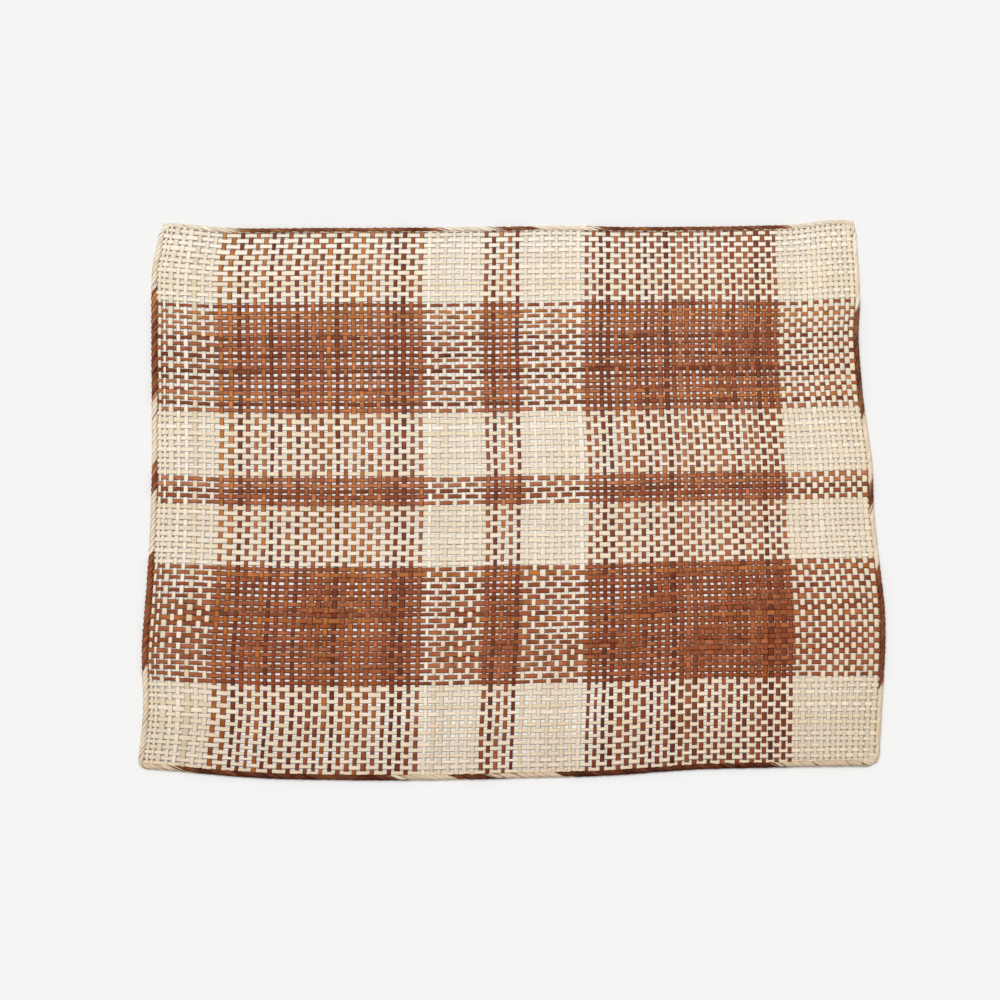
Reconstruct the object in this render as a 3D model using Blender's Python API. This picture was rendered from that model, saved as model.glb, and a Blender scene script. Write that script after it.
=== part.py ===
"""Woven straw placemat: one flat mat whose strip ends are plaited into a raised rim.

The mat is a single solid. Its sides bulge and draw in by a few millimetres, as hand weaving does,
its corners are rounded, each by its own radius, and the plait along its edge stands higher than the
weave inside it.

Metres, +Z up, +X along the long side. The origin is on the table, under the middle of the mat's box.
"""
import math
from collections import namedtuple

import bmesh
import bpy

MM = 0.001

# Mean size of the mat, before its sides bulge
LENGTH = 458 * MM
WIDTH = 356 * MM

# Height of the flat weave, and of the outer wall of the plait below its rounded top
WEAVE_HEIGHT = 1.5 * MM
RIM_WALL = 1.3 * MM

# Spacing of the outline's points along a side, and their number round a corner
SIDE_STEP = 8 * MM
CORNER_STEPS = 6

# A side's bulge dies out towards the opposite side by this power of the distance
BULGE_FADE = 3

# One place along a side, and how far the side stands out there from its straight line, in millimetres
Place = namedtuple("Place", "along out")

LEFT_SIDE = (
    Place(along=-178, out=0.3),
    Place(along=-142, out=-1.6),
    Place(along=-104, out=0.8),
    Place(along=-60, out=-0.5),
    Place(along=-20, out=-1.2),
    Place(along=25, out=-0.2),
    Place(along=65, out=1.6),
    Place(along=105, out=3.5),
    Place(along=145, out=4.6),
    Place(along=165, out=1.9),
    Place(along=178, out=0.8),
)

RIGHT_SIDE = (
    Place(along=-178, out=-3.4),
    Place(along=-150, out=-0.9),
    Place(along=-125, out=1.7),
    Place(along=-100, out=4.0),
    Place(along=-78, out=4.6),
    Place(along=-45, out=2.4),
    Place(along=-15, out=0.7),
    Place(along=15, out=0.9),
    Place(along=40, out=-1.2),
    Place(along=65, out=-3.3),
    Place(along=100, out=-4.2),
    Place(along=125, out=-2.3),
    Place(along=178, out=-2.9),
)

TOP_SIDE = (
    Place(along=-229, out=3.0),
    Place(along=-205, out=0.6),
    Place(along=-185, out=-1.4),
    Place(along=-130, out=-1.3),
    Place(along=-20, out=-0.7),
    Place(along=30, out=0.2),
    Place(along=90, out=-0.6),
    Place(along=185, out=1.0),
    Place(along=212, out=4.0),
    Place(along=229, out=4.4),
)

BOTTOM_SIDE = (
    Place(along=-229, out=-2.6),
    Place(along=-205, out=-0.8),
    Place(along=-175, out=2.0),
    Place(along=-140, out=4.0),
    Place(along=-60, out=4.8),
    Place(along=20, out=3.1),
    Place(along=60, out=1.9),
    Place(along=90, out=-0.2),
    Place(along=118, out=-2.0),
    Place(along=200, out=-3.6),
    Place(along=229, out=-3.7),
)

# The corners in order against the clock: which way each lies from the middle, and its radius
Corner = namedtuple("Corner", "x_side y_side radius")

CORNERS = (
    Corner(x_side=1, y_side=-1, radius=8 * MM),
    Corner(x_side=1, y_side=1, radius=8 * MM),
    Corner(x_side=-1, y_side=1, radius=9 * MM),
    Corner(x_side=-1, y_side=-1, radius=5 * MM),
)

# The plait's rounded top, from its outer wall inwards: how far in each step goes, and how far up
RimStep = namedtuple("RimStep", "inwards up")

RIM_STEPS = (
    RimStep(inwards=0.4 * MM, up=0.8 * MM),
    RimStep(inwards=0.7 * MM, up=0.5 * MM),
    RimStep(inwards=0.7 * MM, up=0.1 * MM),
    RimStep(inwards=0.7 * MM, up=-0.2 * MM),
    RimStep(inwards=0.6 * MM, up=-0.4 * MM),
    RimStep(inwards=0.4 * MM, up=WEAVE_HEIGHT - RIM_WALL - 0.8 * MM),
)

STRAW_COLOUR = (0.80, 0.71, 0.56, 1.0)
STRAW_ROUGHNESS = 0.6


def clear_scene():
    """Removes whatever the file opened with."""
    for item in list(bpy.data.objects):
        bpy.data.objects.remove(item, do_unlink=True)


def slope_at(rows, index):
    """The steepness of a side's curve at one row: that of the line between its neighbours."""
    before = rows[max(index - 1, 0)]
    after = rows[min(index + 1, len(rows) - 1)]
    return (after.out - before.out) / (after.along - before.along)


def stands_out(rows, along):
    """How far a side stands out at a place along it, on a smooth curve through its rows."""
    place = min(max(along / MM, rows[0].along), rows[-1].along)
    index = 0
    while index < len(rows) - 2 and place > rows[index + 1].along:
        index += 1
    first, second = rows[index], rows[index + 1]
    span = second.along - first.along
    t = (place - first.along) / span
    out = (
        first.out * (2 * t ** 3 - 3 * t ** 2 + 1)
        + second.out * (3 * t ** 2 - 2 * t ** 3)
        + slope_at(rows, index) * span * (t ** 3 - 2 * t ** 2 + t)
        + slope_at(rows, index + 1) * span * (t ** 3 - t ** 2)
    )
    return out * MM


def bulged(x, y):
    """Moves a point of the straight rectangle to its place in the uneven mat."""
    across = x / LENGTH + 0.5
    up = y / WIDTH + 0.5
    to_right = stands_out(RIGHT_SIDE, y) * across ** BULGE_FADE
    to_left = stands_out(LEFT_SIDE, y) * (1 - across) ** BULGE_FADE
    to_top = stands_out(TOP_SIDE, x) * up ** BULGE_FADE
    to_bottom = stands_out(BOTTOM_SIDE, x) * (1 - up) ** BULGE_FADE
    return x + to_right - to_left, y + to_top - to_bottom


def corner_points(corner):
    """The arc of one rounded corner of the straight rectangle, against the clock."""
    centre_x = corner.x_side * (LENGTH / 2 - corner.radius)
    centre_y = corner.y_side * (WIDTH / 2 - corner.radius)
    middle_angle = math.atan2(corner.y_side, corner.x_side)
    points = []
    for step in range(CORNER_STEPS + 1):
        angle = middle_angle - math.pi / 4 + step / CORNER_STEPS * math.pi / 2
        points.append((centre_x + corner.radius * math.cos(angle), centre_y + corner.radius * math.sin(angle)))
    return points


def points_between(start, end):
    """Even steps along a straight side, without its two ends."""
    steps = round(math.dist(start, end) / SIDE_STEP)
    points = []
    for step in range(1, steps):
        share = step / steps
        points.append((start[0] + (end[0] - start[0]) * share, start[1] + (end[1] - start[1]) * share))
    return points


def mat_outline():
    """The mat's uneven outline, against the clock, with the middle of its box at the origin."""
    straight = []
    arcs = [corner_points(corner) for corner in CORNERS]
    for index, arc in enumerate(arcs):
        straight += arc
        straight += points_between(arc[-1], arcs[(index + 1) % len(arcs)][0])
    uneven = [bulged(x, y) for x, y in straight]
    middle_x = (min(x for x, y in uneven) + max(x for x, y in uneven)) / 2
    middle_y = (min(y for x, y in uneven) + max(y for x, y in uneven)) / 2
    return [(x - middle_x, y - middle_y) for x, y in uneven]


def build_mat_mesh():
    """Raises the outline to the rim's wall, then steps inwards over the rim and down to the weave."""
    shape = bmesh.new()
    top = shape.faces.new([shape.verts.new((x, y, 0)) for x, y in mat_outline()])
    raised = bmesh.ops.extrude_face_region(shape, geom=[top], use_keep_orig=True)
    wall_top = [item for item in raised["geom"] if isinstance(item, bmesh.types.BMVert)]
    bmesh.ops.translate(shape, verts=wall_top, vec=(0, 0, RIM_WALL))
    lid = [item for item in raised["geom"] if isinstance(item, bmesh.types.BMFace)]
    for step in RIM_STEPS:
        bmesh.ops.inset_region(
            shape, faces=lid, thickness=step.inwards, depth=step.up, use_even_offset=True, use_boundary=True
        )
    bmesh.ops.recalc_face_normals(shape, faces=shape.faces)
    mesh = bpy.data.meshes.new("mat")
    shape.to_mesh(mesh)
    shape.free()
    return mesh


def straw_material():
    """Pale dry straw."""
    material = bpy.data.materials.new("straw")
    material.use_nodes = True
    shader = material.node_tree.nodes["Principled BSDF"]
    shader.inputs["Base Color"].default_value = STRAW_COLOUR
    shader.inputs["Roughness"].default_value = STRAW_ROUGHNESS
    shader.inputs["Metallic"].default_value = 0.0
    return material


def main():
    """Builds the mat in a collection of its own."""
    clear_scene()
    collection = bpy.data.collections.new("Placemat")
    bpy.context.scene.collection.children.link(collection)
    mat = bpy.data.objects.new("mat", build_mat_mesh())
    mat.data.materials.append(straw_material())
    collection.objects.link(mat)


main()
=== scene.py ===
"""Looks of the woven straw placemat.

Every strip is real geometry: 96 columns and 97 rows of flat straw cross in plain weave, and their
ends wrap the edge as a plait that runs with the clock, seen from above. Each strip has its own width,
tone and small waves. Where the stiff plait holds the weave up, the floor in its gaps lies in shade.

Shapes are worked out in millimetres on a straight rectangle first, and then moved to the mat's uneven
outline, by the same four sides as the solid has. Meshes are written in metres.
"""
import math
from collections import namedtuple

import bpy
import numpy as np
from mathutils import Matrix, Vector


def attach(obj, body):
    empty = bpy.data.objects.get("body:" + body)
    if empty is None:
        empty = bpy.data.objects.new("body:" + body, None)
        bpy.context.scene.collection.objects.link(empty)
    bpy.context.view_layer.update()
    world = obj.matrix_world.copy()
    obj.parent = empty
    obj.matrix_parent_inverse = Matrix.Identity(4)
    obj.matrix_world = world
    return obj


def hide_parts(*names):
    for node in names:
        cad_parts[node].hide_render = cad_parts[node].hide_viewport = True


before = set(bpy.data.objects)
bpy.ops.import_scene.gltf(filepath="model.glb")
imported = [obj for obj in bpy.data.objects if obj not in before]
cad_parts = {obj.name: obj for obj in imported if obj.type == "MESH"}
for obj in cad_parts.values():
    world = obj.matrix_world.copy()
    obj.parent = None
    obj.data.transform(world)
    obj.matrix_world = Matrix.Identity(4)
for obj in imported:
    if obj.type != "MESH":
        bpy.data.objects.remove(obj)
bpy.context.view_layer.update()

MM = 0.001
RANDOM_SEED = 14

# The mat's straight rectangle, in millimetres
LENGTH = 458
WIDTH = 356

# A side's bulge dies out towards the opposite side by this power of the distance
BULGE_FADE = 3

# One place along a side, and how far the side stands out there from its straight line, in millimetres
Place = namedtuple("Place", "along out")

LEFT_SIDE = (
    Place(along=-178, out=0.3),
    Place(along=-142, out=-1.6),
    Place(along=-104, out=0.8),
    Place(along=-60, out=-0.5),
    Place(along=-20, out=-1.2),
    Place(along=25, out=-0.2),
    Place(along=65, out=1.6),
    Place(along=105, out=3.5),
    Place(along=145, out=4.6),
    Place(along=165, out=1.9),
    Place(along=178, out=0.8),
)

RIGHT_SIDE = (
    Place(along=-178, out=-3.4),
    Place(along=-150, out=-0.9),
    Place(along=-125, out=1.7),
    Place(along=-100, out=4.0),
    Place(along=-78, out=4.6),
    Place(along=-45, out=2.4),
    Place(along=-15, out=0.7),
    Place(along=15, out=0.9),
    Place(along=40, out=-1.2),
    Place(along=65, out=-3.3),
    Place(along=100, out=-4.2),
    Place(along=125, out=-2.3),
    Place(along=178, out=-2.9),
)

TOP_SIDE = (
    Place(along=-229, out=3.0),
    Place(along=-205, out=0.6),
    Place(along=-185, out=-1.4),
    Place(along=-130, out=-1.3),
    Place(along=-20, out=-0.7),
    Place(along=30, out=0.2),
    Place(along=90, out=-0.6),
    Place(along=185, out=1.0),
    Place(along=212, out=4.0),
    Place(along=229, out=4.4),
)

BOTTOM_SIDE = (
    Place(along=-229, out=-2.6),
    Place(along=-205, out=-0.8),
    Place(along=-175, out=2.0),
    Place(along=-140, out=4.0),
    Place(along=-60, out=4.8),
    Place(along=20, out=3.1),
    Place(along=60, out=1.9),
    Place(along=90, out=-0.2),
    Place(along=118, out=-2.0),
    Place(along=200, out=-3.6),
    Place(along=229, out=-3.7),
)

# The corners with the clock from the far left one: which way each lies, and its radius
Corner = namedtuple("Corner", "x_side y_side radius")

CORNERS = (
    Corner(x_side=-1, y_side=1, radius=9),
    Corner(x_side=1, y_side=1, radius=8),
    Corner(x_side=1, y_side=-1, radius=8),
    Corner(x_side=-1, y_side=-1, radius=5),
)

# The line that follows the edge: its points round a corner, and the distance between its final points
CORNER_POINTS = 13
EDGE_STEP = 0.5

# The weave's stripes. Each ends at a border given at five places along its strips, in millimetres.
# crowd is how much its strips draw together towards that border, and pair how far each of them is
# pushed towards one neighbour, so that they lie in twos. depth is how light the stripe is at the far
# edge, and the next value how much of that it keeps at the near edge. That loss is painted shade, for
# the light that falls off towards the near edge.
Stripe = namedtuple("Stripe", "count dyed width crowd pair depth near ends")

# Which of the five places is the middle one, counted from nought
MIDDLE_KNOT = 2

# Columns from left to right, with their borders at five places from the near edge to the far one
COLUMN_KNOTS = (-158, -80, 0, 80, 158)
COLUMNS_START = (-225.6,) * 5
COLUMN_STRIPES = (
    Stripe(8, False, width=2.68, crowd=0.10, pair=0, depth=1.0, near=0.86,
           ends=(-188.8, -187.3, -187.8, -188.1, -189.5)),
    Stripe(25, True, width=2.75, crowd=0.05, pair=0, depth=1.0, near=0.62,
           ends=(-56.5, -55.3, -54.5, -54.8, -55.0)),
    Stripe(7, False, width=2.72, crowd=0.02, pair=0, depth=1.0, near=0.84,
           ends=(-21.2, -18.4, -17.2, -17.8, -17.7)),
    Stripe(5, True, width=2.50, crowd=0.0, pair=0, depth=1.06, near=0.66,
           ends=(2.4, 5.1, 7.5, 7.5, 7.7)),
    Stripe(8, False, width=2.82, crowd=0.0, pair=0, depth=1.0, near=0.80,
           ends=(44.1, 46.0, 47.7, 47.4, 47.8)),
    Stripe(29, True, width=2.80, crowd=0.09, pair=-0.08, depth=0.965, near=0.575,
           ends=(174.9, 173.4, 174.7, 175.6, 175.9)),
    Stripe(14, False, width=2.72, crowd=0.05, pair=0, depth=1.0, near=0.82,
           ends=(226, 226, 226, 226, 226)),
)

# Rows from the far edge to the near one, with their borders at five places from left to right
ROW_KNOTS = (-212, -110, 0, 110, 212)
ROWS_START = (177.1,) * 5
ROW_STRIPES = (
    Stripe(14, False, width=2.85, crowd=-0.02, pair=0, depth=1.10, near=0.86,
           ends=(125.3, 126.6, 126.4, 127.6, 125.9)),
    Stripe(20, True, width=2.36, crowd=0.045, pair=0.24, depth=1.0, near=0.86,
           ends=(51.9, 51.5, 52.1, 53.7, 54.3)),
    Stripe(11, False, width=2.7, crowd=0.0, pair=0, depth=1.0, near=0.86,
           ends=(9.7, 9.5, 10.4, 11.9, 12.2)),
    Stripe(5, True, width=2.68, crowd=0.0, pair=0, depth=1.0, near=0.86,
           ends=(-9.1, -9.8, -8.9, -7.3, -6.1)),
    Stripe(11, False, width=2.7, crowd=-0.03, pair=0, depth=1.0, near=0.86,
           ends=(-48.0, -48.6, -47.6, -46.5, -44.8)),
    Stripe(21, True, width=2.80, crowd=0.045, pair=0.06, depth=0.92, near=0.83,
           ends=(-123.2, -122.4, -122.0, -121.4, -121.2)),
    Stripe(15, False, width=2.5, crowd=0.06, pair=0, depth=1.05, near=0.86,
           ends=(-175.9, -175.9, -175.9, -176.1, -176.3)),
)

# The first strips beside the left and far edges are pressed against the plait, the far one nearly
# under it: their shares of the usual room, and of the usual width
Pressed = namedtuple("Pressed", "room width")

PRESSED_COLUMNS = (Pressed(room=0.5, width=0.66), Pressed(room=0.5, width=0.66))
PRESSED_ROWS = (Pressed(room=0.45, width=0.60), Pressed(room=1.05, width=1.0))

# Spots where the weave is tight and its gaps nearly close, or loose: the strips are wider there by
# this share, or narrower
Spot = namedtuple("Spot", "x y reach_x reach_y share")

SPOTS = (
    Spot(x=-136, y=75, reach_x=14, reach_y=30, share=0.10),
    Spot(x=-107, y=-85, reach_x=17, reach_y=45, share=0.13),
    Spot(x=-6, y=-85, reach_x=18, reach_y=42, share=0.12),
    Spot(x=162, y=85, reach_x=15, reach_y=50, share=0.08),
    Spot(x=162, y=-85, reach_x=20, reach_y=55, share=0.16),
    Spot(x=112, y=155, reach_x=62, reach_y=30, share=-0.09),
    Spot(x=-37, y=155, reach_x=16, reach_y=30, share=-0.06),
    Spot(x=112, y=15, reach_x=62, reach_y=32, share=-0.06),
    Spot(x=-5, y=60, reach_x=14, reach_y=110, share=-0.06),
    Spot(x=0, y=-155, reach_x=175, reach_y=28, share=-0.06),
    Spot(x=-205, y=-150, reach_x=22, reach_y=34, share=0.12),
    Spot(x=208, y=0, reach_x=24, reach_y=200, share=0.10),
    Spot(x=-207, y=150, reach_x=22, reach_y=34, share=0.05),
)

# Open and dense patches all over the weave: how many waves make them, how much each widens the strips,
# and the shortest and longest
PATCH_WAVES = 9
PATCH_SHARE = 0.032
PATCH_LENGTHS = (22, 60)

# Where the plait is thicker, by this share
PLAIT_SPOTS = (
    Spot(x=198, y=-178, reach_x=24, reach_y=5, share=0.42),
)

# How much the strips' spacing, widths and light vary from one to the next, as shares
SPACING_JITTER = 0.08
WIDTH_JITTER = 0.09
TONE_JITTER = 0.05

# A strip's slow waves, by number: sideways, in its twist, and in its width
SIDEWAYS, TWIST, SWELL = range(3)

# How long the waves are, in millimetres, and how far each kind goes: in millimetres, degrees and as a
# share of the width
WAVE_LENGTHS = (30, 100)
SIDEWAYS_WAVE = 0.2
TWIST_WAVE = 5.0
WIDTH_WAVE = 0.07

# A strip's thickness in millimetres, and that as a share of its width
STRIP_THICKNESS = 0.32
STRIP_FLATNESS = 0.12

# How far a strip's middle lies above or below the weave's middle at a crossing, the arch it adds there,
# and how far the crossing's flat part reaches each way, as a share of the other strip's width
CROSSING_RISE = 0.17
CROSSING_ARCH = 0.05
FLAT_SHARE = 0.42

# Height of the weave's middle over the floor where nothing lifts it
FLAT_HEIGHT = CROSSING_RISE + CROSSING_ARCH + STRIP_THICKNESS / 2

# The four sides of the plait: which way each lies, half its width and height, and where a strip's end
# comes out from under it and how far it then runs over it, both with the clock, in pitches of the
# strips. lift is how high the plait holds the weave there, and reach how far inwards that is felt.
# The last two are how much of their light the natural and the dyed strips keep in the plait on that side.
# They are painted light and shade, for how the light falls on each side of the plait.
Side = namedtuple("Side", "x_side y_side half_width half_height lead run lift reach straw dye")

SIDES = (
    Side(-1, 0, half_width=1.20, half_height=0.78, lead=0.9, run=2.2,
         lift=0.9, reach=24, straw=1.0, dye=1.0),
    Side(0, 1, half_width=0.60, half_height=0.50, lead=0.5, run=2.4,
         lift=0.6, reach=10, straw=1.08, dye=0.92),
    Side(1, 0, half_width=0.84, half_height=0.76, lead=0.3, run=2.7,
         lift=0.75, reach=24, straw=1.0, dye=0.72),
    Side(0, -1, half_width=0.92, half_height=0.72, lead=1.6, run=2.2,
         lift=0.8, reach=16, straw=0.93, dye=0.62),
)

# The wrapped strips: their thickness and width, how far each rises over its neighbour, as shingles do,
# how high the plait's underside lies, and how far inside the outline the plait stays
RIM_STRIP_THICKNESS = 0.26
RIM_STRIP_WIDTH = 2.4
RIM_SHINGLE = 0.26
RIM_FOOT = 0.5
RIM_MARGIN = 0.45

# How much the plait's thickness varies, the narrowest share of its width that a wrap has, how much wider
# the widest is, and the share of its width that a wrap keeps at its two ends
RIM_SWELL = 0.06
RIM_NARROWEST = 0.9
RIM_WIDER = 0.2
RIM_TIP = 0.5

# A wrap's turn from the plait's underside outwards, over and down, in degrees, and its number of points
WRAP_START = -20.0
WRAP_END = 300.0
WRAP_POINTS = 15

# A strip's cross section: places across and up, as shares of half its width and half its thickness. Its
# two long edges are the places with nothing up.
SECTION = ((-1.0, 0.0), (-0.62, 1.0), (0.62, 1.0), (1.0, 0.0), (0.62, -1.0), (-0.62, -1.0))

# Tones of the straw, linear, and how common each is
Tone = namedtuple("Tone", "colour share")

NATURAL_TONES = (
    Tone(colour=(0.86, 0.728, 0.566), share=0.50),
    Tone(colour=(0.90, 0.783, 0.634), share=0.28),
    Tone(colour=(0.83, 0.688, 0.497), share=0.16),
    Tone(colour=(0.81, 0.718, 0.561), share=0.06),
)

# No straw is paler than this
PALEST = 0.97

# Tones of the dyed straw, linear. The first two also serve the strips listed below them.
ORANGE = (0.46, 0.165, 0.048)
CHOCOLATE = (0.205, 0.052, 0.019)
DYED_TONES = (
    Tone(colour=(0.362, 0.113, 0.042), share=0.46),
    Tone(colour=(0.310, 0.086, 0.035), share=0.26),
    Tone(colour=CHOCOLATE, share=0.08),
    Tone(colour=(0.430, 0.154, 0.066), share=0.20),
)

# Dyed strips, counted from nought from the left and from the far edge, that took the dye worst and best
ORANGE_COLUMNS = (8, 9, 13, 21, 24, 25, 59)
ORANGE_ROWS = (15, 16, 31, 62, 70)
CHOCOLATE_COLUMNS = (10, 29, 30, 41, 56, 61, 64, 78)
CHOCOLATE_ROWS = (32, 47)

# How red, green and blue fall off as straw and dyed straw darken: the dyed straw grows redder
STRAW_FALL = np.array([1.0, 1.3, 1.6])
DYE_FALL = np.array([1.0, 1.7, 2.2])

# The same for the dyed strips in the plait, which look blacker and not redder as they darken, and what
# their red, green and blue are multiplied by, because wear has made them greyer
PLAIT_DYE_FALL = np.array([1.0, 0.9, 0.75])
PLAIT_WORN = np.array([1.0, 1.14, 1.30])

# Painted shade: the shares of its red, green and blue that a strip keeps on its two long edges, darkened
# there as the sides of a rounded strip and the gaps beside it would be shaded
STRAW_EDGE_SHADE = (0.98, 0.94, 0.88)
DYE_EDGE_SHADE = (0.46, 0.27, 0.18)

# Painted shade: the straw is made darker towards the near edge, for the light that falls off there.
# Where that starts and ends, and how late it sets in
NEAR_SHADE_FROM = 10
NEAR_SHADE_TO = -165
NEAR_SHADE_LATE = 1.5

# The view: a camera nearly overhead, leaning towards the near edge. Places are in metres here, and the
# lens and sensor in millimetres.
VIEW_DISTANCE = 1.25
VIEW_TILT = math.radians(13.5)
VIEW_AIM = (-0.0070, -0.00585, 0.0)
LENS = 70.9
SENSOR = 36.0

# The map for baking lays the strips end to end in bands: how much longer a band is than the longest
# strip, and the share of a band's height left free above and below
BAND_SLACK = 1.002
BAND_MARGIN = 0.04

# How far apart, in metres, the strips' places in the grain may be
GRAIN_SHIFT = 50

# The grain's noise, in cells for each metre along a strip and for each turn round it, and its detail:
# fine lengthwise fibres, and blotches. Most of the noise lies between the two ends of its range. Then how
# far the roughness strays, and the strength of the bump and its depth in millimetres.
FIBRE_SCALE = (120, 55, 1)
FIBRE_DETAIL = 3
BLOTCH_SCALE = (90, 0.6, 1)
BLOTCH_DETAIL = 2
NOISE_RANGE = (0.3, 0.7)
ROUGHNESS_SPREAD = 0.1
BUMP_STRENGTH = 0.5
BUMP_DEPTH = 0.06

# The light from all round and the lamp: how strong each is, its tone, where the lamp stands, and how wide
# it looks
FILL = 0.53
FILL_TONE = (0.945, 1.0, 1.055, 1.0)
KEY = 1.737
KEY_TONE = (1.048, 0.99, 0.925)
KEY_FROM = (-0.25, 0.30, 1.0)
KEY_ANGLE = math.radians(40)

# The floor's brightness and roughness, its size in metres, which fills the low views too, and how far
# it lies below the mat, in millimetres
FLOOR_TONE = 0.88
FLOOR_ROUGHNESS = 0.9
FLOOR_SIZE = 60.0
FLOOR_DROP = 0.05

random = np.random.default_rng(RANDOM_SEED)
patch_random = np.random.default_rng(RANDOM_SEED + 1)

# The waves of the open and dense patches: the way each runs, its length and its phase
PATCHES = [
    (patch_random.uniform(0, math.pi), patch_random.uniform(*PATCH_LENGTHS), patch_random.uniform(0, 1))
    for _ in range(PATCH_WAVES)
]


def smooth_curve(places, values, along):
    """The values at places along a smooth curve through the given ones."""
    places, values = np.array(places, float), np.array(values, float)
    before = np.maximum(np.arange(len(places)) - 1, 0)
    after = np.minimum(np.arange(len(places)) + 1, len(places) - 1)
    slopes = (values[after] - values[before]) / (places[after] - places[before])
    held = np.clip(along, places[0], places[-1])
    first = np.clip(np.searchsorted(places, held) - 1, 0, len(places) - 2)
    span = places[first + 1] - places[first]
    t = (held - places[first]) / span
    return (
        values[first] * (2 * t ** 3 - 3 * t ** 2 + 1)
        + values[first + 1] * (3 * t ** 2 - 2 * t ** 3)
        + slopes[first] * span * (t ** 3 - 2 * t ** 2 + t)
        + slopes[first + 1] * span * (t ** 3 - t ** 2)
    )


def stands_out(rows, along):
    """How far a side stands out at places along it."""
    return smooth_curve([row.along for row in rows], [row.out for row in rows], along)


def bulged(x, y):
    """Moves points of the straight rectangle to their places in the uneven mat, before centring."""
    across = x / LENGTH + 0.5
    up = y / WIDTH + 0.5
    to_right = stands_out(RIGHT_SIDE, y) * across ** BULGE_FADE
    to_left = stands_out(LEFT_SIDE, y) * (1 - across) ** BULGE_FADE
    to_top = stands_out(TOP_SIDE, x) * up ** BULGE_FADE
    to_bottom = stands_out(BOTTOM_SIDE, x) * (1 - up) ** BULGE_FADE
    return x + to_right - to_left, y + to_top - to_bottom


def edge_loop():
    """A closed line with the clock round the straight rectangle: its points and distances along it."""
    points = []
    for corner in CORNERS:
        centre_x = corner.x_side * (LENGTH / 2 - corner.radius)
        centre_y = corner.y_side * (WIDTH / 2 - corner.radius)
        middle = math.atan2(corner.y_side, corner.x_side)
        for angle in np.linspace(middle + math.pi / 4, middle - math.pi / 4, CORNER_POINTS):
            x = centre_x + corner.radius * math.cos(angle)
            y = centre_y + corner.radius * math.sin(angle)
            points.append((x, y))
    points.append(points[0])
    coarse = np.array(points)
    run = np.concatenate([[0], np.cumsum(np.linalg.norm(np.diff(coarse, axis=0), axis=1))])
    places = np.arange(0, run[-1], EDGE_STEP)
    line = np.stack([np.interp(places, run, coarse[:, 0]), np.interp(places, run, coarse[:, 1])], axis=1)
    return line, places, run[-1]


def box_middle():
    """The middle of the uneven outline's box, which the solid has at the origin."""
    line, _, _ = edge_loop()
    x, y = bulged(line[:, 0], line[:, 1])
    return (x.min() + x.max()) / 2, (y.min() + y.max()) / 2


MIDDLE = box_middle()


def edge_distance(side):
    """How far a side's straight line lies from the mat's middle."""
    return abs(side.x_side) * LENGTH / 2 + abs(side.y_side) * WIDTH / 2


def side_value(outward, name):
    """One of the sides' values, blended at the corners by which way the edge faces there."""
    total = np.zeros(len(outward))
    for side in SIDES:
        facing = np.maximum(outward[:, 0] * side.x_side + outward[:, 1] * side.y_side, 0)
        total += facing ** 2 * getattr(side, name)
    return total


def to_world(points):
    """Points of the straight rectangle, in millimetres, at their real places, in metres."""
    x, y = bulged(points[:, 0], points[:, 1])
    return np.stack([x - MIDDLE[0], y - MIDDLE[1], points[:, 2]], axis=1) * MM


def pick_tone(stripe, number, orange, chocolate):
    """A strip's tone: the named ones for some strips, else one by how common each is."""
    tones = DYED_TONES if stripe.dyed else NATURAL_TONES
    shares = np.array([tone.share for tone in tones])
    colour = tones[random.choice(len(tones), p=shares / shares.sum())].colour
    if number in orange:
        colour = ORANGE
    elif number in chocolate:
        colour = CHOCOLATE
    fall = DYE_FALL if stripe.dyed else STRAW_FALL
    tone = deepened(np.array(colour), stripe.depth * random.normal(1.0, TONE_JITTER), fall)
    return tone * min(PALEST / tone.max(), 1.0)


def deepened(tone, share, fall):
    """A tone that keeps this share of its light, or each of these shares, and grows warmer."""
    return tone * np.power.outer(share, fall)


def near_shaded(strip, y):
    """A strip's tone at places over the mat's depth, with painted shade that darkens it towards the near
    edge.
    """
    t = np.clip((y - NEAR_SHADE_FROM) / (NEAR_SHADE_TO - NEAR_SHADE_FROM), 0, 1) ** NEAR_SHADE_LATE
    return deepened(strip["tone"], 1 - (1 - strip["near"]) * t, strip["fall"])


def make_strips(stripes, start, knots, pressed, orange, chocolate):
    """The strips of one direction: for each, its smooth place across, its width, tone and own waves."""
    strips = []
    left = np.array(start, float)
    for stripe in stripes:
        right = np.array(stripe.ends, float)
        weights = np.linspace(1 + stripe.crowd, 1 - stripe.crowd, stripe.count)
        weights = weights * (1 + random.normal(0, SPACING_JITTER, stripe.count))
        widths = stripe.width * (1 + random.normal(0, WIDTH_JITTER, stripe.count))
        if not strips:
            weights[:len(pressed)] *= [strip.room for strip in pressed]
            widths[:len(pressed)] *= [strip.width for strip in pressed]
        shares = (np.cumsum(weights) - weights / 2) / weights.sum()
        span = right[MIDDLE_KNOT] - left[MIDDLE_KNOT]
        pushes = np.sign(span) * stripe.pair * np.where(np.arange(stripe.count) % 2, 1, -1)
        pitch = abs(span) / stripe.count
        for share, push, weight, width in zip(shares, pushes, weights, widths):
            strips.append({
                "knots": knots,
                "places": left + (right - left) * share + push,
                "room": pitch * weight / weights.mean(),
                "width": width,
                "dyed": stripe.dyed,
                "tone": pick_tone(stripe, len(strips), orange, chocolate),
                # How much light the strip keeps at the near edge: painted shade
                "near": stripe.near,
                "fall": DYE_FALL if stripe.dyed else STRAW_FALL,
                # The shares the strip keeps on its long edges: painted shade
                "edge": DYE_EDGE_SHADE if stripe.dyed else STRAW_EDGE_SHADE,
                "waves": random.uniform(0, 1, 6),
            })
        left = right
    return strips


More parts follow.
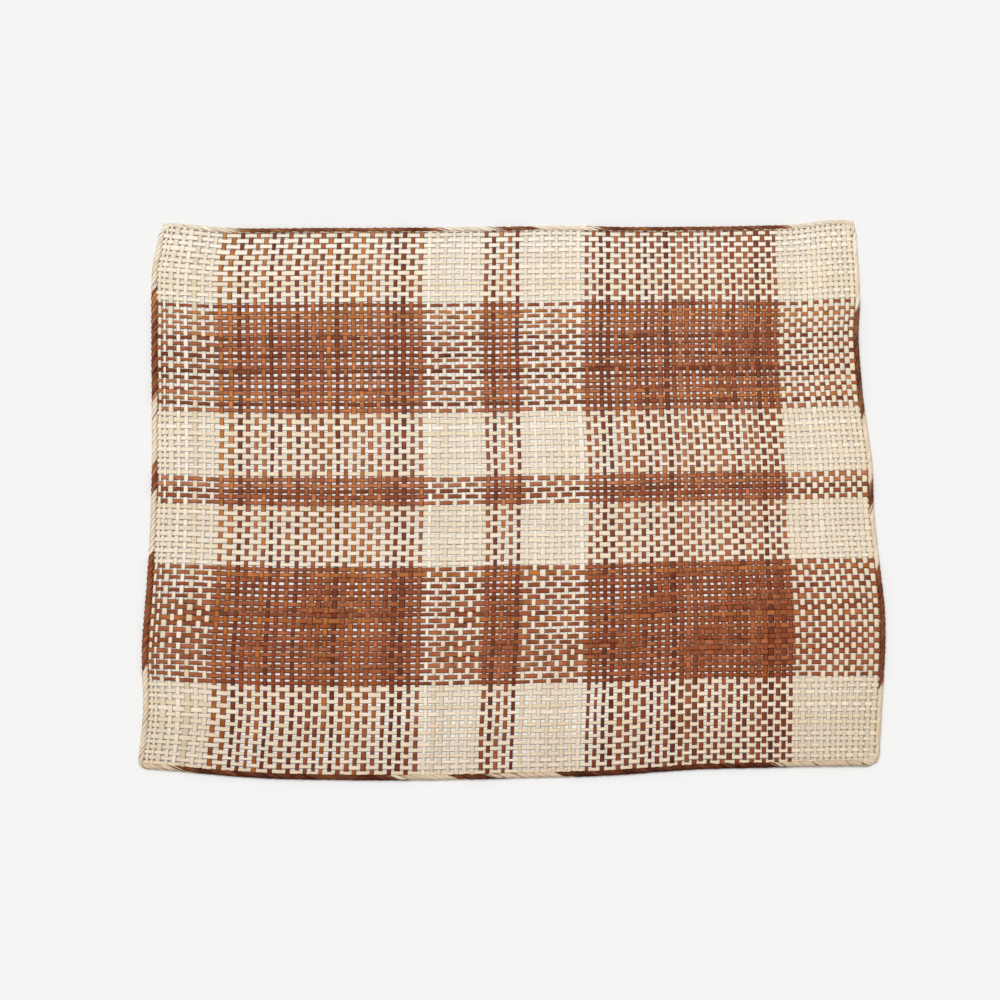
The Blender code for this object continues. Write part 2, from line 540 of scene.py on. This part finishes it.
def wave(strip, along, kind):
    """A slow wave along a strip, between -1 and 1, of the strip's own phase and length."""
    shortest, longest = WAVE_LENGTHS
    phase = strip["waves"][2 * kind]
    length = shortest + (longest - shortest) * strip["waves"][2 * kind + 1]
    return np.sin(2 * math.pi * (along / length + phase))


def across_place(strip, along):
    """Where a strip's middle lies across its own direction, at places along it."""
    return smooth_curve(strip["knots"], strip["places"], along) + SIDEWAYS_WAVE * wave(strip, along, SIDEWAYS)


def weave_height(x, y):
    """Height of the weave's middle over the floor: flat inside, held up by the plait at each edge."""
    lift = np.zeros(len(x))
    for side in SIDES:
        inwards = edge_distance(side) - x * side.x_side - y * side.y_side
        lift += side.lift * np.exp(-inwards / side.reach)
    return FLAT_HEIGHT + lift


def crossings(columns, rows):
    """Where each column meets each row, as two arrays indexed by column and row."""
    row_count = len(rows)
    x = np.zeros((len(columns), row_count))
    y = np.tile([across_place(row, 0.0) for row in rows], (len(columns), 1))
    for _ in range(2):
        for index, column in enumerate(columns):
            x[index] = across_place(column, y[index])
        for index, row in enumerate(rows):
            y[:, index] = across_place(row, x[:, index])
    return x, y


def strip_path(strip, places, other_widths, over, ends, along_axis):
    """The middle line of one strip through all its crossings, and into the plait at both ends."""
    half_flat = FLAT_SHARE * other_widths
    along = np.stack([places - half_flat, places, places + half_flat], axis=1)
    side = np.where(over, 1.0, -1.0)[:, None]
    rise = side * (CROSSING_RISE + CROSSING_ARCH * np.array([0.0, 1.0, 0.0]))
    along, rise = along.ravel(), rise.ravel()
    along = np.concatenate([[ends[0]], along, [ends[1]]])
    rise = np.concatenate([[0.0], rise, [0.0]])
    across = across_place(strip, along)
    x, y = (along, across) if along_axis == "x" else (across, along)
    return np.stack([x, y, weave_height(x, y) + rise], axis=1)


def unit(vectors):
    """The vectors, each at a length of one."""
    return vectors / np.maximum(np.linalg.norm(vectors, axis=1, keepdims=True), 1e-12)


def tube_frame(points, up):
    """Directions along, across and out of a strip at each of its points."""
    along = unit(np.gradient(points, axis=0))
    across = unit(np.cross(along, up))
    return along, across, unit(np.cross(across, along))


def twisted(across, up, angle):
    """The two directions turned about the strip's own line."""
    cosine, sine = np.cos(angle)[:, None], np.sin(angle)[:, None]
    return across * cosine + up * sine, up * cosine - across * sine


def extra(spots, x, y):
    """How much wider the strips, or thicker the plait, are at these places for the spots, as a share."""
    share = np.zeros(len(x))
    for spot in spots:
        off_x = (x - spot.x) / spot.reach_x
        off_y = (y - spot.y) / spot.reach_y
        share += spot.share * np.exp(-off_x ** 2 - off_y ** 2)
    return share


def patchiness(x, y):
    """How much wider the strips are at places in the open and dense patches, as a share."""
    share = np.zeros(len(x))
    for angle, length, phase in PATCHES:
        along = x * math.cos(angle) + y * math.sin(angle)
        share += PATCH_SHARE * np.sin(2 * math.pi * (along / length + phase))
    return share


def weave_tube(strip, path):
    """A woven strip as a tube: its points in metres, its two directions, and its size and tone there."""
    points = to_world(path)
    _, across, up = tube_frame(points, np.array([0.0, 0.0, 1.0]))
    run = np.linalg.norm(path[:, :2] - path[0, :2], axis=1)
    angle = math.radians(TWIST_WAVE) * wave(strip, run, TWIST)
    across, up = twisted(across, up, angle)
    x, y = path[:, 0], path[:, 1]
    share = 1 + WIDTH_WAVE * wave(strip, run, SWELL) + extra(SPOTS, x, y) + patchiness(x, y)
    return {
        "points": points,
        "across": across,
        "up": up,
        "half": strip["width"] / 2 * share * MM,
        "thick": np.full(len(points), STRIP_THICKNESS / 2 * MM),
        # The tone carries painted shade that darkens it towards the near edge
        "tone": near_shaded(strip, y),
        "edge": strip["edge"],
    }


class EdgeLine:
    """The mat's edge, followed with the clock."""

    def __init__(self):
        self.line, self.places, self.length = edge_loop()
        self.ahead = unit(np.roll(self.line, -1, axis=0) - np.roll(self.line, 1, axis=0))

    def nearest(self, axis, value, side):
        """The place where a strip at this x (axis 0) or y (axis 1) meets the edge, on the given side."""
        other_side = self.line[:, 1 - axis] * side < 0
        off = np.abs(self.line[:, axis] - value) + self.length * other_side
        return self.places[np.argmin(off)]

    def at(self, places):
        """Points and outward directions at places along the edge."""
        index = np.mod(places, self.length) / self.length * len(self.line)
        low = np.floor(index).astype(int) % len(self.line)
        high = (low + 1) % len(self.line)
        share = (index - np.floor(index))[:, None]
        points = self.line[low] * (1 - share) + self.line[high] * share
        ahead = unit(self.ahead[low] * (1 - share) + self.ahead[high] * share)
        return points, np.stack([-ahead[:, 1], ahead[:, 0]], axis=1)


def wrap_tube(strip, edge, start):
    """One strip's end in the plait: from under it, round the outside, over the top and down inside."""
    turn = np.radians(np.linspace(WRAP_START, WRAP_END, WRAP_POINTS))
    _, facing = edge.at(np.array([start]))
    lead = side_value(facing, "lead")[0] * np.sin(np.clip(turn, 0, math.pi / 2)) ** 2
    run = side_value(facing, "run")[0] * np.maximum(turn - math.pi / 2, 0) / math.pi
    line, outward = edge.at(start + strip["room"] * (lead + run))
    phase, chance = strip["waves"][2 * SWELL:]
    swell = 1 + RIM_SWELL * math.sin(2 * math.pi * phase) + extra(PLAIT_SPOTS, line[:, 0], line[:, 1])
    half_width = side_value(outward, "half_width") * swell
    half_height = side_value(outward, "half_height") * swell
    sideways, height = np.sin(turn), -np.cos(turn)
    points = np.zeros((len(turn), 3))
    points[:, :2] = line + outward * (half_width * (sideways - 1) - RIM_MARGIN)[:, None]
    points[:, 2] = RIM_FOOT + half_height * (1 + height)
    skin = np.zeros((len(turn), 3))
    skin[:, :2] = outward * (sideways / half_width)[:, None]
    skin[:, 2] = height / half_height
    world = to_world(points)
    along = unit(np.gradient(world, axis=0))
    across = unit(np.cross(along, unit(skin)))
    skin = unit(np.cross(across, along))
    tilt = math.atan2(RIM_SHINGLE, RIM_STRIP_WIDTH)
    across, skin = twisted(across, skin, np.full(len(turn), tilt))
    world = world + skin * (RIM_SHINGLE / 2 + RIM_STRIP_THICKNESS / 2) * MM
    half = np.full(len(turn), RIM_STRIP_WIDTH / 2 * (RIM_NARROWEST + RIM_WIDER * chance) * MM)
    half[[0, -1]] *= RIM_TIP
    # Painted light and shade: each side of the plait is made lighter or darker for how the light falls on it
    plait_side_shade = side_value(outward, "dye" if strip["dyed"] else "straw")
    fall = PLAIT_DYE_FALL if strip["dyed"] else STRAW_FALL
    worn = PLAIT_WORN if strip["dyed"] else 1.0
    return {
        "points": world,
        "across": across,
        "up": skin,
        "half": half,
        "thick": np.full(len(turn), RIM_STRIP_THICKNESS / 2 * MM),
        # The tone carries painted shade towards the near edge, and the painted light and shade of the plait's
        # side
        "tone": near_shaded(strip, points[:, 1]) * np.power.outer(plait_side_shade, fall) * worn,
        "edge": strip["edge"],
    }


def girth_places():
    """Distances round the strip's cross section from its first corner, as shares of the whole."""
    corners = np.array(SECTION + SECTION[:1]) * (1.0, STRIP_FLATNESS)
    run = np.concatenate([[0], np.cumsum(np.linalg.norm(np.diff(corners, axis=0), axis=1))])
    return run / run[-1]


def build_piece(name, tubes):
    """One mesh of many strips, with maps along the strips and for baking, and a tone for each strip, with
    painted shade on its two long edges.
    """
    sides = len(SECTION)
    girth = girth_places()
    section = np.array(SECTION)
    vertices, faces, strip_uv, bake_rows, tones = [], [], [], [], []
    lengths = [np.linalg.norm(np.diff(tube["points"], axis=0), axis=1).sum() for tube in tubes]
    band_length = max(lengths) * BAND_SLACK
    band, cursor, base = 0, 0.0, 0
    for tube, length in zip(tubes, lengths):
        if cursor > 0 and cursor + length > band_length:
            band, cursor = band + 1, 0.0
        count = len(tube["points"])
        ring = (
            tube["points"][:, None, :]
            + tube["across"][:, None, :] * section[None, :, 0:1] * tube["half"][:, None, None]
            + tube["up"][:, None, :] * section[None, :, 1:2] * tube["thick"][:, None, None]
        )
        ring[..., 2] = np.maximum(ring[..., 2], 0.0)
        vertices.append(ring.reshape(-1, 3))
        run = np.concatenate([[0], np.cumsum(np.linalg.norm(np.diff(tube["points"], axis=0), axis=1))])
        first = np.arange(count - 1)[:, None] * sides + np.arange(sides)[None, :]
        beside = np.arange(count - 1)[:, None] * sides + (np.arange(sides)[None, :] + 1) % sides
        quads = np.stack([first, beside, beside + sides, first + sides], axis=2)
        faces.append(quads.reshape(-1, 4) + base)
        u = np.stack([run[:-1], run[:-1], run[1:], run[1:]], axis=1)[:, None, :].repeat(sides, axis=1)
        v = np.stack([girth[:-1], girth[1:], girth[1:], girth[:-1]], axis=1)[None].repeat(count - 1, axis=0)
        shift = random.uniform(0, GRAIN_SHIFT)
        strip_uv.append(np.stack([u + shift, v], axis=3).reshape(-1, 2))
        place_in_band = (u + cursor) / band_length
        height_in_bands = band + BAND_MARGIN + (1 - 2 * BAND_MARGIN) * v
        bake_rows.append(np.stack([place_in_band, height_in_bands], axis=3).reshape(-1, 2))
        tone = np.ones((count, sides, 4))
        # Painted shade: each strip's two long edges are darkened by its edge shares
        tone[..., :3] = tube["tone"][:, None, :] * np.where(section[:, 1:2] == 0, tube["edge"], 1.0)
        tones.append(tone.reshape(-1, 4))
        cursor += length
        base += count * sides
    bake = np.concatenate(bake_rows)
    bake[:, 1] /= band + 1
    return write_mesh(
        name, np.concatenate(vertices), np.concatenate(faces), end_caps(tubes),
        np.concatenate(strip_uv), bake, np.concatenate(tones),
    )


def end_caps(tubes):
    """The closing faces at both ends of every strip."""
    sides = len(SECTION)
    caps, base = [], 0
    for tube in tubes:
        count = len(tube["points"])
        last = base + (count - 1) * sides
        caps.append([base + corner for corner in reversed(range(sides))])
        caps.append([last + corner for corner in range(sides)])
        base += count * sides
    return np.array(caps)


def write_mesh(name, vertices, quads, caps, strip_uv, bake_uv, tones):
    """The arrays as a Blender mesh of quads and end caps, shaded smooth."""
    corners = np.concatenate([quads.ravel(), caps.ravel()])
    sizes = np.concatenate([np.full(len(quads), 4), np.full(len(caps), len(SECTION))])
    mesh = bpy.data.meshes.new(name)
    mesh.vertices.add(len(vertices))
    mesh.vertices.foreach_set("co", vertices.astype(np.float32).ravel())
    mesh.loops.add(len(corners))
    mesh.loops.foreach_set("vertex_index", corners.astype(np.int32))
    mesh.polygons.add(len(sizes))
    mesh.polygons.foreach_set("loop_start", np.concatenate([[0], np.cumsum(sizes)[:-1]]).astype(np.int32))
    mesh.update(calc_edges=True)
    mesh.validate()
    cap_uv = np.zeros((caps.size, 2))
    for map_name, values in (("OFBake", bake_uv), ("Strip", strip_uv)):
        layer = mesh.uv_layers.new(name=map_name)
        layer.data.foreach_set("uv", np.concatenate([values, cap_uv]).astype(np.float32).ravel())
    tone = mesh.attributes.new("Tone", "FLOAT_COLOR", "POINT")
    tone.data.foreach_set("color", tones.astype(np.float32).ravel())
    mesh.shade_smooth()
    piece = bpy.data.objects.new(name, mesh)
    bpy.context.scene.collection.objects.link(piece)
    return piece


def straw_material(name, streak, blotch, roughness, gloss):
    """Dry straw: fine lengthwise fibres, slow changes of tone along a strip, and a faint gloss."""
    material = bpy.data.materials.new(name)
    material.use_nodes = True
    nodes, links = material.node_tree.nodes, material.node_tree.links
    shader = nodes["Principled BSDF"]

    def node(kind, **values):
        """A new node with these settings."""
        made = nodes.new(kind)
        for key, value in values.items():
            setattr(made, key, value)
        return made

    place = node("ShaderNodeUVMap", uv_map="Strip")
    # Tone holds each strip's colour with painted shade on its long edges, towards the near edge and on the
    # plait's sides
    tone = node("ShaderNodeAttribute", attribute_name="Tone")

    def noise(scale, detail):
        """Noise over the strip's own length and girth."""
        stretch = node("ShaderNodeMapping")
        stretch.inputs["Scale"].default_value = scale
        grain = node("ShaderNodeTexNoise")
        grain.inputs["Scale"].default_value = 1.0
        grain.inputs["Detail"].default_value = detail
        links.new(place.outputs["UV"], stretch.inputs["Vector"])
        links.new(stretch.outputs["Vector"], grain.inputs["Vector"])
        return grain.outputs["Fac"]

    def remap(value, low, high):
        """The noise's range spread to the two given values."""
        spread = node("ShaderNodeMapRange")
        spread.inputs["From Min"].default_value, spread.inputs["From Max"].default_value = NOISE_RANGE
        spread.inputs["To Min"].default_value = low
        spread.inputs["To Max"].default_value = high
        links.new(value, spread.inputs["Value"])
        return spread.outputs["Result"]

    def multiply(first, second):
        """The product of two values."""
        made = node("ShaderNodeMath", operation="MULTIPLY")
        links.new(first, made.inputs[0])
        links.new(second, made.inputs[1])
        return made.outputs["Value"]

    fibres = noise(FIBRE_SCALE, FIBRE_DETAIL)
    blotches = noise(BLOTCH_SCALE, BLOTCH_DETAIL)
    shade = multiply(remap(fibres, 1 - streak, 1 + streak), remap(blotches, 1 - blotch, 1 + blotch))
    colour = node("ShaderNodeVectorMath", operation="SCALE")
    links.new(tone.outputs["Color"], colour.inputs["Vector"])
    links.new(shade, colour.inputs["Scale"])
    links.new(colour.outputs["Vector"], shader.inputs["Base Color"])
    rough = remap(fibres, roughness - ROUGHNESS_SPREAD, roughness + ROUGHNESS_SPREAD)
    links.new(rough, shader.inputs["Roughness"])
    shader.inputs["Specular IOR Level"].default_value = gloss
    bump = node("ShaderNodeBump")
    bump.inputs["Strength"].default_value = BUMP_STRENGTH
    bump.inputs["Distance"].default_value = BUMP_DEPTH * MM
    links.new(fibres, bump.inputs["Height"])
    links.new(bump.outputs["Normal"], shader.inputs["Normal"])
    return material


def build_tubes():
    """Every strip, woven and wrapped, sorted by piece, and the natural rows' area in square metres."""
    columns = make_strips(
        COLUMN_STRIPES, COLUMNS_START, COLUMN_KNOTS, PRESSED_COLUMNS, ORANGE_COLUMNS, CHOCOLATE_COLUMNS
    )
    rows = make_strips(ROW_STRIPES, ROWS_START, ROW_KNOTS, PRESSED_ROWS, ORANGE_ROWS, CHOCOLATE_ROWS)
    x, y = crossings(columns, rows)
    column_widths = np.array([strip["width"] for strip in columns])
    row_widths = np.array([strip["width"] for strip in rows])
    edge = EdgeLine()
    left_end, far_end, right_end, near_end = [
        edge_distance(side) - RIM_MARGIN - side.half_width for side in SIDES
    ]
    names = ("natural_rows", "brown_rows", "natural_columns", "brown_columns_left", "brown_columns_right")
    parts = {name: [] for name in names}
    for index, strip in enumerate(rows):
        over = (np.arange(len(columns)) + index) % 2 == 0
        path = strip_path(strip, x[:, index], column_widths, over, (-left_end, right_end), "x")
        ends = [edge.nearest(1, path[0, 1], -1), edge.nearest(1, path[-1, 1], 1)]
        part = parts["brown_rows" if strip["dyed"] else "natural_rows"]
        part += [weave_tube(strip, path)] + [wrap_tube(strip, edge, end) for end in ends]
    for index, strip in enumerate(columns):
        over = ((np.arange(len(rows)) + index) % 2 == 1)[::-1]
        path = strip_path(strip, y[index][::-1], row_widths[::-1], over, (-near_end, far_end), "y")
        ends = [edge.nearest(0, path[0, 0], -1), edge.nearest(0, path[-1, 0], 1)]
        if strip["dyed"]:
            part = parts["brown_columns_left" if index < len(columns) / 2 else "brown_columns_right"]
        else:
            part = parts["natural_columns"]
        part += [weave_tube(strip, path)] + [wrap_tube(strip, edge, end) for end in ends]
    area = sum(strip["width"] * LENGTH for strip in rows if not strip["dyed"]) * MM * MM
    return parts, area


def dress():
    """Builds the pieces, gives them their straw, and ties them to the frame."""
    parts, natural_row_area = build_tubes()
    natural = straw_material("natural_straw", streak=0.08, blotch=0.06, roughness=0.55, gloss=0.18)
    brown = straw_material("brown_straw", streak=0.26, blotch=0.42, roughness=0.52, gloss=0.10)
    for name, tubes in parts.items():
        piece = build_piece(name, tubes)
        dyed = name.startswith("brown")
        piece.data.materials.append(brown if dyed else natural)
        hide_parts("mat")
        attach(piece, "root")


def build_floor():
    """A plain pale floor under the mat."""
    bpy.ops.mesh.primitive_plane_add(size=FLOOR_SIZE, location=(0, 0, -FLOOR_DROP * MM))
    floor = bpy.context.object
    floor.name = "floor"
    material = bpy.data.materials.new("pale_floor")
    material.use_nodes = True
    shader = material.node_tree.nodes["Principled BSDF"]
    shader.inputs["Base Color"].default_value = (FLOOR_TONE, FLOOR_TONE, FLOOR_TONE, 1.0)
    shader.inputs["Roughness"].default_value = FLOOR_ROUGHNESS
    shader.inputs["Specular IOR Level"].default_value = 0.0
    floor.data.materials.append(material)


def build_light():
    """Soft light from all round, and a broad, slightly warm lamp high up towards the far left corner."""
    world = bpy.data.worlds.new("studio")
    world.use_nodes = True
    backdrop = world.node_tree.nodes["Background"]
    backdrop.inputs["Color"].default_value = FILL_TONE
    backdrop.inputs["Strength"].default_value = FILL
    bpy.context.scene.world = world
    lamp_data = bpy.data.lights.new("key_lamp", "SUN")
    lamp_data.angle = KEY_ANGLE
    lamp_data.energy = KEY
    lamp_data.color = KEY_TONE
    lamp = bpy.data.objects.new("key_lamp", lamp_data)
    lamp.rotation_euler = aim_at(KEY_FROM, (0, 0, 0))
    bpy.context.scene.collection.objects.link(lamp)
    bpy.context.scene.view_settings.view_transform = "Standard"


def aim_at(place, target):
    """The turn that points a lamp at a target."""
    return (Vector(target) - Vector(place)).to_track_quat("-Z", "Y").to_euler()


def build_camera():
    """The photograph's view: nearly overhead, the long side level."""
    data = bpy.data.cameras.new("camera")
    data.lens = LENS
    data.sensor_width = SENSOR
    camera = bpy.data.objects.new("camera", data)
    camera.location = (
        VIEW_AIM[0],
        VIEW_AIM[1] - VIEW_DISTANCE * math.sin(VIEW_TILT),
        VIEW_AIM[2] + VIEW_DISTANCE * math.cos(VIEW_TILT),
    )
    camera.rotation_euler = (VIEW_TILT, 0, 0)
    bpy.context.scene.collection.objects.link(camera)
    bpy.context.scene.camera = camera


dress()
build_floor()
build_light()
build_camera()
